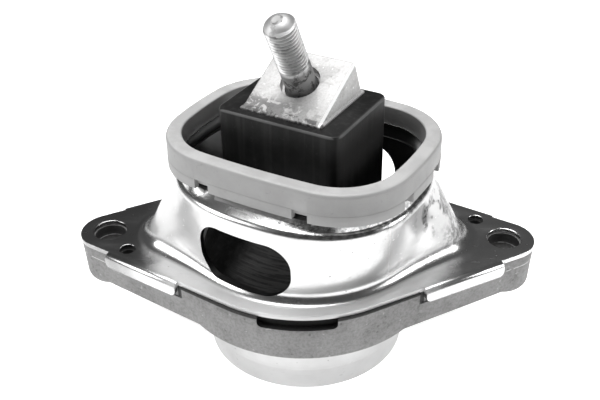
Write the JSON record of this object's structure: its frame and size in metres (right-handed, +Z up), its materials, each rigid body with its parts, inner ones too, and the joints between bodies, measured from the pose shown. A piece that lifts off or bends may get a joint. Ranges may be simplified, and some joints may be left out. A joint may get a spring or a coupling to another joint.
{
  "type": "engine mount",
  "caption": "Hydraulic engine mount: eared steel housing over an alloy casting, rubber block with an inclined threaded stud, moulded stop ring and a drawn bottom cup.",
  "frame": {"origin": "centre of the flat bottom face of the cup, midway between the two fixing holes", "axes": "+Z up along the axis of the cup and housing, +X from one fixing ear to the other, -Y towards the side the stud leans to"},
  "size_m": [0.184, 0.106, 0.1461],
  "materials": {
    "stud": "bright zinc plated thread with a dirty shank",
    "core": "light grey grit-blasted alloy with dark stains",
    "rubber": "near-black satin moulded rubber",
    "inner_steel": "phosphated steel",
    "housing_steel": "bright zinc plated pressed sheet",
    "ring_plastic": "light grey moulded plastic",
    "cast_alloy": "matt grey die casting",
    "plate_alloy": "plain die casting",
    "inner_rubber": "plain black rubber",
    "cup_steel": "smooth bright drawn sheet"
  },
  "bodies": {
    "root": {"stud": "stud", "core_wedge": "core", "rubber_spring": "rubber", "bonded_ring": "inner_steel", "housing": "housing_steel", "stop_ring": "ring_plastic", "cast_base": "cast_alloy", "upper_channel_plate": "plate_alloy", "lower_channel_plate": "plate_alloy", "decoupler_disc": "inner_rubber", "diaphragm": "inner_rubber", "bottom_cup": "cup_steel"}
  },
  "joints": []
}
